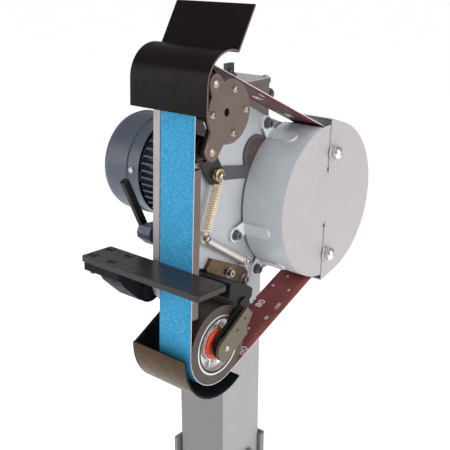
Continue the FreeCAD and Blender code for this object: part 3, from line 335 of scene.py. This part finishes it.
def second(node, key, test):
    """Give the faces that pass the test another coat: test(centre in the head frame, in mm, and normal)."""
    o = N[node]
    o.data.materials.append(M[key])
    k = len(o.data.materials) - 1
    for p in o.data.polygons:
        c = p.center
        y, z = c.y * 1000, (c.z - 1.0) * 1000
        h = Vector(((c.x - BX) * 1000, y * CT - z * ST, y * ST + z * CT))
        if test(h, p.normal):
            p.material_index = k


second("guard_front", "cover", lambda h, n: h.x > 28.4 and abs(n.x) > 0.9)
second("terminal_box_lid", "box_side", lambda h, n: n.z < 0.5)
second("hex_screws", "black", lambda h, n: -52 < h.x < -42.8 and h.z > 155 and h.y < -270)
second("spark_guard_lower", "black_warm", lambda h, n: ((h.y - CW[0]) * (n.y * CT - n.z * ST) + (h.z - CW[1]) * (n.y * ST + n.z * CT)) > 30)
# painted shade: the table's end, side and under faces take a darker coat than its top
second("table_plate", "black_steel", lambda h, n: n.x > 0.5)
second("table_plate", "black_steel", lambda h, n: n.z < 0.4 and n.x < 0.5)
second("hex_screws", "black_blue", lambda h, n: h.x < -43 and abs(h.y + 262) < 20 and abs(h.z + 66) < 20)
second("frame_plate", "black_blue", lambda h, n: h.x < -39.7 and abs(h.y + 262) < 20 and abs(h.z + 66) < 20)
second("platen", "rocker", lambda h, n: n.x > 0.9)
# painted light: the column's right-hand faces take the lighter copy of its paint
second("column_tube", "column_painted_light_side", lambda h, n: n.x > 0.5)
second("socket_screws", "arm_olive", lambda h, n: h.x > 35 and h.y < -170 and h.z < -100)
# painted highlight: the edge face of the upper guard's flap takes a light brown coat for the light it catches
second("spark_guard_upper", "rocker", lambda h, n: n.x > 0.9 and h.x > 54)
second("hex_screws", "lug_bolt", lambda h, n: any(math.hypot(h.y - a_, h.z - b_) < 11 for a_, b_ in ((-67, 107.6), (-124.5, -31.8), (-77.8, -91.7))))
second("socket_screws", "lug_bolt", lambda h, n: any(math.hypot(h.y - a_, h.z - b_) < 11 for a_, b_ in ((-67, 107.6), (-124.5, -31.8), (-77.8, -91.7))))
# painted highlight: the bevelled rim faces of the round face and the lugs round the guard take the lighter copy
second("guard_front", "guard_painted_highlight", lambda h, n: 0.15 < n.x < 0.95 and h.x > 26)
second("guard_front", "guard_painted_highlight", lambda h, n: h.x < 12 and math.hypot(h.y, h.z) > 105.6)


# ------------------------------------------------------------------ pieces made here
def add(name, verts, faces, mats, idx=None, smooth=True, body="grinding_head"):
    me = bpy.data.meshes.new(name)
    me.from_pydata([tuple(v) for v in verts], [], faces)
    for m in mats:
        me.materials.append(M[m])
    for i, p in enumerate(me.polygons):
        p.use_smooth = smooth
        if idx is not None:
            p.material_index = idx[i]
    me.update()
    o = bpy.data.objects.new(name, me)
    bpy.context.scene.collection.objects.link(o)
    if body:
        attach(o, body)
    return o


def tangent(c1, c2, off):
    y1, z1, r1 = c1[0], c1[1], c1[2] + off
    y2, z2, r2 = c2[0], c2[1], c2[2] + off
    dy, dz = y2 - y1, z2 - z1
    d = math.hypot(dy, dz)
    uy, uz = dy / d, dz / d
    k = (r1 - r2) / d
    s = math.sqrt(1 - k * k)
    ny, nz = uy * k + uz * s, uz * k - uy * s
    return (y1 + r1 * ny, z1 + r1 * nz), (y2 + r2 * ny, z2 + r2 * nz), (ny, nz)


def belt_path():
    """Points of the belt's middle line with outward normals, counter-clockwise."""
    cs = [CW, DR, TR]
    pts = []
    for i in range(3):
        c, d = cs[i], cs[(i + 1) % 3]
        prev = cs[i - 1]
        _, _, n0 = tangent(prev, c, 0.8)
        _, _, n1 = tangent(c, d, 0.8)
        a0, a1 = math.atan2(n0[1], n0[0]), math.atan2(n1[1], n1[0])
        while a1 < a0:
            a1 += 2 * math.pi
        k = 40
        for j in range(k + 1):
            a = a0 + (a1 - a0) * j / k
            pts.append((c[0] + (c[2] + 0.8) * math.cos(a), c[1] + (c[2] + 0.8) * math.sin(a), math.cos(a), math.sin(a)))
        p, q, n = tangent(c, d, 0.8)
        m = 60
        for j in range(1, m):
            f = j / m
            pts.append((p[0] + (q[0] - p[0]) * f, p[1] + (q[1] - p[1]) * f, n[0], n[1]))
    return pts


def belt():
    path = belt_path()
    n = len(path)
    # cross-section: (across, out from the middle line, material)
    sec = [(-25.0, 0.30), (-24.85, 0.5), (-12.5, 0.5), (0.0, 0.5), (12.5, 0.5), (24.85, 0.5), (25.0, 0.30), (25.0, -0.30), (24.85, -0.5), (12.5, -0.5), (0.0, -0.5), (-12.5, -0.5), (-24.85, -0.5), (-25.0, -0.30)]
    kind = [2, 0, 0, 0, 0, 2, 2, 2, 1, 1, 1, 1, 2, 2]
    # painted shade: on the upper run the backing faces take the darker copy (material 3)
    up = {1: 3}
    m = len(sec)
    V_, F_, I_ = [], [], []
    s = 0.0
    for i, (y, z, ny, nz) in enumerate(path):
        for k, (a, o) in enumerate(sec):
            frayed = 0.0
            if abs(a) > 24.9:
                frayed = 0.06 * math.sin(i * 1.7 + k) + 0.04 * math.sin(i * 4.3 + k)
            V_.append(H(a - math.copysign(abs(frayed), a), y + ny * o, z + nz * o))
    for i in range(n):
        j = (i + 1) % n
        for k in range(m):
            q = (k + 1) % m
            F_.append((i * m + k, j * m + k, j * m + q, i * m + q))
            I_.append(up.get(kind[k], kind[k]) if path[i][1] > 40 and path[j][1] > 40 else kind[k])
    o = add("belt_loop", V_, F_, ["grit", "backing", "belt_edge", "backing_painted_shade"], I_, body=None)
    bm = bmesh.new()
    bm.from_mesh(o.data)
    bmesh.ops.recalc_face_normals(bm, faces=bm.faces)
    bm.to_mesh(o.data)
    bm.free()
    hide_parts("sanding_belt")
    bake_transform(o)
    return o


belt()


def number(name, text, hx, f, side, size, rot=0.0):
    """A grit number printed on the cloth side of the lower run (side 0) or the upper run (side 1)."""
    c, d = (CW, DR) if side == 0 else (DR, TR)
    p, q, n = tangent(c, d, 0.8)
    y, z = p[0] + (q[0] - p[0]) * f, p[1] + (q[1] - p[1]) * f
    L = math.hypot(q[0] - p[0], q[1] - p[1])
    uy, uz = (q[0] - p[0]) / L, (q[1] - p[1]) / L
    cu = bpy.data.curves.new(name, "FONT")
    cu.body = text
    cu.size = size / 1000
    cu.align_x = "CENTER"
    cu.align_y = "CENTER"
    cu.extrude = 0.00004
    cu.offset = 0.0001
    cu.resolution_u = 4
    o = bpy.data.objects.new(name, cu)
    bpy.context.scene.collection.objects.link(o)
    bpy.context.view_layer.update()
    me = bpy.data.meshes.new_from_object(o)
    bpy.data.objects.remove(o)
    me.name = name
    # local x runs along the belt, local y across it, local z out of the cloth side
    ex = Vector((0, uy * CT + uz * ST, -uy * ST + uz * CT))
    ez = -Vector((0, n[0] * CT + n[1] * ST, -n[0] * ST + n[1] * CT))
    ey = ez.cross(ex)
    M4 = Matrix(((ex.x, ey.x, ez.x, 0), (ex.y, ey.y, ez.y, 0), (ex.z, ey.z, ez.z, 0), (0, 0, 0, 1)))
    pos = H(hx, y - n[0] * 0.56, z - n[1] * 0.56)
    me.transform(Matrix.Translation(pos) @ M4 @ Matrix.Rotation(rot, 4, "Z"))
    me.materials.clear()
    me.materials.append(M["ink"])
    ob = bpy.data.objects.new(name, me)
    bpy.context.scene.collection.objects.link(ob)
    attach(ob, "grinding_head")
    return ob


def trim(ob):
    """Print that runs over the edge of the cloth is cut off with it."""
    bm = bmesh.new()
    bm.from_mesh(ob.data)
    for sx in (-1, 1):
        bmesh.ops.bisect_plane(bm, geom=bm.verts[:] + bm.edges[:] + bm.faces[:], plane_co=(BX + sx * 0.0246, 0, 0), plane_no=(sx, 0, 0), clear_outer=True)
    bm.to_mesh(ob.data)
    bm.free()


for i, (hx, f, side, size, txt) in enumerate([(-11.1, 0.48, 0, 14.5, "80"), (-26.7, 0.482, 0, 14.5, "80"), (19.1, 0.156, 0, 14.5, "80"), (3.5, 0.156, 0, 14.5, "80"), (19.1, 0.86, 0, 14.5, "80"),
                                              (13.0, 0.402, 0, 6.5, "50"), (14.0, 0.50, 0, 6.5, "1220"), (-11.0, 0.82, 0, 6.5, "1220"),
                                              (-6.0, 0.56, 1, 14.5, "80"), (9.0, 0.80, 1, 14.5, "80"), (12.0, 0.62, 1, 6.5, "1220"), (-8.0, 0.30, 1, 14.5, "80")]):
    trim(number("grit_number_%d" % i, txt, hx, f, side, size, math.radians(180) if side else 0.0))
for i, (hx, f) in enumerate([(10.1, 0.631), (-7.6, 0.724), (2.0, 0.30), (-16.0, 0.63)]):
    p_, q_, n_ = tangent(CW, DR, 0.8)
    L_ = math.hypot(q_[0] - p_[0], q_[1] - p_[1])
    y_, z_ = p_[0] + (q_[0] - p_[0]) * f - n_[0] * 0.58, p_[1] + (q_[1] - p_[1]) * f - n_[1] * 0.58
    uy_, uz_ = (q_[0] - p_[0]) / L_, (q_[1] - p_[1]) / L_
    tri = [(hx - 2.2, -1.8), (hx + 2.2, -1.8), (hx, 2.6)]
    o_ = add("direction_mark_%d" % i, [H(a_, y_ + uy_ * b_, z_ + uz_ * b_) for a_, b_ in tri], [(0, 1, 2)], ["ink"], smooth=False)


def tube(name, pts, r, mat, body="grinding_head", seg=10, cap=True):
    """Round wire through points, mesh made with parallel transport."""
    n = len(pts)
    V_, F_ = [], []
    t_prev = (pts[1] - pts[0]).normalized()
    up = Vector((1, 0, 0)) if abs(t_prev.x) < 0.8 else Vector((0, 1, 0))
    u = t_prev.cross(up).normalized()
    for i in range(n):
        a = pts[max(i - 1, 0)]
        b = pts[min(i + 1, n - 1)]
        t = (b - a).normalized()
        ax = t_prev.cross(t)
        if ax.length > 1e-9:
            u = Matrix.Rotation(math.asin(min(ax.length, 1.0)), 3, ax.normalized()) @ u
        u = (u - t * u.dot(t)).normalized()
        w = t.cross(u)
        for k in range(seg):
            an = 2 * math.pi * k / seg
            V_.append(pts[i] + (u * math.cos(an) + w * math.sin(an)) * r)
        t_prev = t
    for i in range(n - 1):
        for k in range(seg):
            q = (k + 1) % seg
            F_.append((i * seg + k, (i + 1) * seg + k, (i + 1) * seg + q, i * seg + q))
    if cap:
        F_.append(tuple(range(seg)))
        F_.append(tuple((n - 1) * seg + k for k in reversed(range(seg))))
    o = add(name, V_, F_, [mat], body=body)
    bm = bmesh.new()
    bm.from_mesh(o.data)
    bmesh.ops.recalc_face_normals(bm, faces=bm.faces)
    bm.to_mesh(o.data)
    bm.free()
    return o


def spring():
    hx = -21.2
    top = H(hx, BU[0] - 3.4, BU[1] - 10.5)
    bot = H(hx, A0[0] + 3.0, A0[1] + 9.0)
    d = (top - bot)
    L = d.length
    d.normalize()
    u = Vector((1, 0, 0))
    w = d.cross(u).normalized()
    R, wr, turns = 0.0055, 0.00082, 20
    pts = []
    # lower hook round the anchor bolt
    a0 = H(hx, *A0)
    for k in range(0, 9):
        an = math.radians(-200 + 25 * k)
        pts.append(a0 + (w * math.cos(an) + d * math.sin(an)) * 0.0066)
    per = 16
    for i in range(turns * per + 1):
        an = 2 * math.pi * i / per
        pts.append(bot + d * (L * i / (turns * per)) + (w * math.cos(an) + u * math.sin(an)) * R)
    b0 = H(hx, *BU)
    for k in range(0, 9):
        an = math.radians(-20 + 25 * k)
        pts.append(b0 + (w * math.cos(an) + d * math.sin(an)) * 0.0078)
    o = tube("spring_coil", pts, wr, "spring", seg=8, body=None)
    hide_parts("tension_spring")
    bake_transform(o)
    return o


spring()


def lathe(name, prof, centre, mats, idx, body, seg=48, smooth=True):
    """Turned piece about the X direction: prof is a list of (hx, r) going round the section."""
    V_, F_, I_ = [], [], []
    m = len(prof)
    for i in range(seg):
        an = 2 * math.pi * i / seg
        for (hx, r) in prof:
            V_.append(H(hx, centre[0] + r * math.cos(an), centre[1] + r * math.sin(an)))
    for i in range(seg):
        j = (i + 1) % seg
        for k in range(m):
            q = (k + 1) % m
            F_.append((i * m + k, j * m + k, j * m + q, i * m + q))
            I_.append(idx[k])
    o = add(name, V_, F_, mats, I_, smooth=smooth, body=body)
    bm = bmesh.new()
    bm.from_mesh(o.data)
    bmesh.ops.recalc_face_normals(bm, faces=bm.faces)
    bm.to_mesh(o.data)
    bm.free()
    return o


def crisp(o, deg=30):
    bpy.context.view_layer.objects.active = o
    me_ = o.data
    bm = bmesh.new()
    bm.from_mesh(me_)
    lim = math.radians(deg)
    for e in bm.edges:
        e.smooth = len(e.link_faces) == 2 and e.calc_face_angle(0.0) < lim
    bm.to_mesh(me_)
    bm.free()
    return o


# double-collar bush of the tension linkage
pr = [(-26.9, 3.1), (-26.9, 7.2), (-26.3, 7.8), (-24.9, 7.8), (-24.3, 7.2), (-24.1, 5.4), (-22.6, 5.4), (-22.4, 7.0), (-21.9, 7.6), (-20.4, 7.6), (-19.9, 7.0), (-19.7, 3.1)]
b_ = crisp(lathe("bush_collars", pr, BU, ["brass"], [0] * len(pr), "ring"))
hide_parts("tension_bush")

# pressed web of the contact wheel with rounded ribs, seen inside the bright rim
WC = (CW[0], CW[1])
pr = [(16.6, 21.2), (15.2, 24.0), (14.6, 28.0), (15.6, 31.6), (18.4, 32.8), (17.6, 32.9), (14.4, 32.0), (13.2, 28.0), (13.8, 23.6), (15.2, 21.2)]
b_ = lathe("wheel_web", pr, WC, ["alu"], [0] * len(pr), "contact_wheel", seg=60)
V_, F_ = [], []
for i in range(6):
    a0 = math.radians(60 * i + 12)
    ca, sa = math.cos(a0), math.sin(a0)
    base = len(V_)
    rows = 7
    for j in range(rows):
        r = 21.4 + (32.6 - 21.4) * j / (rows - 1)
        hgt = 17.6 + 1.6 * math.sin(math.pi * j / (rows - 1))
        for k in range(9):
            th = math.pi * k / 8
            w_ = 2.6 * math.cos(th)
            x_ = 14.0 + (hgt - 14.0) * math.sin(th) ** 0.7
            V_.append(H(x_, WC[0] + r * ca - w_ * sa, WC[1] + r * sa + w_ * ca))
    for j in range(rows - 1):
        for k in range(8):
            p0 = base + j * 9 + k
            F_.append((p0, p0 + 9, p0 + 10, p0 + 1))
b_ = add("wheel_ribs", V_, F_, ["alu"], body="contact_wheel")

def prism(name, pts, x0, x1, mat, body):
    """Thin flat piece: outline (y, z) in the head frame between two hx values."""
    n = len(pts)
    V_ = [H(x0, *p) for p in pts] + [H(x1, *p) for p in pts]
    F_ = [tuple(reversed(range(n))), tuple(range(n, 2 * n))]
    for i in range(n):
        j = (i + 1) % n
        F_.append((i, j, n + j, n + i))
    o = add(name, V_, F_, [mat], smooth=False, body=body)
    bm = bmesh.new()
    bm.from_mesh(o.data)
    bmesh.ops.recalc_face_normals(bm, faces=bm.faces)
    bmesh.ops.bevel(bm, geom=[e for e in bm.edges if e.calc_face_angle(0.0) > 0.6], offset=0.00018, segments=2, affect="EDGES")
    bm.to_mesh(o.data)
    bm.free()
    return o


# dark side plate between the frame plate and the contact wheel; it also stands in as painted shade for the shadow there
prism("side_plate_painted_shade", [(-245.3, -58), (-214, -58), (-184, -64), (-150, -76), (-104, -112), (-104, -137), (-112, -142), (-150, -119), (-180, -104), (-232, -98), (-245.3, -92)], -35.9, -34.9, "block", "grinding_head")

# the middle of the cover's front edge is dressed down on to the round face; the seam shows only beyond it
V_ = []
zs = [-33.0 + 3.0 * i for i in range(27)]
for z_ in zs:
    e_ = max(0.0, min(1.0, (z_ + 33.0) / 12.0, (45.0 - z_) / 12.0))
    e_ = e_ * e_ * (3.0 - 2.0 * e_)
    V_ += [H(30.03, -5.0 - 17.0 * e_, z_), H(30.06 + 1.16 * e_, -4.0, z_), H(30.06 + 1.16 * e_, -3.2, z_), H(30.03, -3.2, z_)]
m_ = 4
F_ = [tuple(range(m_)), tuple(reversed(range((len(zs) - 1) * m_, len(zs) * m_)))]
for i in range(len(zs) - 1):
    for k in range(m_):
        q = (k + 1) % m_
        F_.append((i * m_ + k, i * m_ + q, (i + 1) * m_ + q, (i + 1) * m_ + k))
b_ = add("seam_bead", V_, F_, ["cover_flat"], body="rear_cover", smooth=False)
bm = bmesh.new()
bm.from_mesh(b_.data)
bmesh.ops.recalc_face_normals(bm, faces=bm.faces)
bm.to_mesh(b_.data)
bm.free()
# painted shade: a dark sliver at each end of the bead stands in for the shadow in the seam's gap
for i, (y_, z_, sl_) in enumerate([(-4.6, 45.5, -0.35), (-4.6, -33.0, -0.35)]):
    pts = []
    for k in range(14):
        an = 2 * math.pi * k / 14
        a_, c_ = 1.0 * math.cos(an), 2.6 * math.sin(an)
        pts.append((y_ + a_ - c_ * sl_ * 0.5, z_ + c_))
    prism("seam_end_%d" % i, pts, 30.03, 31.26, "dark", "rear_cover")

# worn friction disc on the boss of the tension ring
pts = [(-80 + 20.5 * math.cos(2 * math.pi * k / 48), 67.5 + 20.5 * math.sin(2 * math.pi * k / 48)) for k in range(48)]
prism("boss_disc", pts, -33.45, -33.05, "worn", "ring")

# bright lip of the contact wheel: a thin dark ring just inside it, painted shade standing in for the shadow of a step
pr = [(25.0, 33.0), (25.12, 33.1), (25.12, 35.7), (25.0, 35.8)]
b_ = lathe("rim_step_painted_shade", pr, WC, ["tyre"], [0] * 4, "contact_wheel", seg=64)

# ------------------------------------------------------------------ floor, light, camera
me = bpy.data.meshes.new("floor")
S_ = 60.0
me.from_pydata([(-S_, -S_, 0), (S_, -S_, 0), (S_, S_, 0), (-S_, S_, 0)], [], [(0, 1, 2, 3)])
floor = bpy.data.objects.new("floor", me)
bpy.context.scene.collection.objects.link(floor)
ft = Tree("floor_pale")
c = ft.ramp(ft.noise(2.0, 3.0), [(0.3, (0.86, 0.86, 0.86, 1)), (0.7, (0.90, 0.90, 0.90, 1))])
ft.link(c, ft.p.inputs["Base Color"])
ft.p.inputs["Roughness"].default_value = 0.9
ft.p.inputs["Emission Color"].default_value = (1, 1, 1, 1)
ft.p.inputs["Emission Strength"].default_value = 0.62
me.materials.append(ft.m)

w = bpy.data.worlds.new("studio")
bpy.context.scene.world = w
w.use_nodes = True
bg = w.node_tree.nodes["Background"]
bg.inputs["Color"].default_value = (1.0, 1.0, 1.0, 1)
bg.inputs["Strength"].default_value = 0.42


def area(name, loc, target, size, power, color=(1, 1, 1), sy=None):
    l = bpy.data.lights.new(name, "AREA")
    l.energy = power
    l.color = color
    l.shape = "RECTANGLE"
    l.size = size
    l.size_y = sy or size
    o = bpy.data.objects.new(name, l)
    o.location = loc
    d = Vector(target) - Vector(loc)
    o.rotation_euler = d.to_track_quat("-Z", "Y").to_euler()
    bpy.context.scene.collection.objects.link(o)
    return o


HEADC = (0.12, -0.1, 1.05)
area("key_right", (2.6, 0.1, 1.7), HEADC, 1.6, 44, sy=2.0)
area("top", (0.0, -0.6, 3.0), HEADC, 2.0, 16)
area("front_left", (-1.5, -2.3, 1.7), HEADC, 1.4, 30, sy=1.8)
area("low_front", (0.6, -2.4, 0.6), (0.1, -0.2, 0.95), 1.6, 8, color=(1.0, 0.96, 0.92))

cam = bpy.data.cameras.new("photo_view")
cam.sensor_width = 36.0
cam.lens = 62.47
cam.clip_end = 200.0
co = bpy.data.objects.new("photo_view", cam)
az, el = math.radians(39.44), math.radians(19.69)
co.location = (0.7225, -0.8651, 1.3262)
co.rotation_euler = (math.pi / 2 - el, 0.0, az)
bpy.context.scene.collection.objects.link(co)
bpy.context.scene.camera = co
bpy.context.scene.view_settings.view_transform = "Standard"
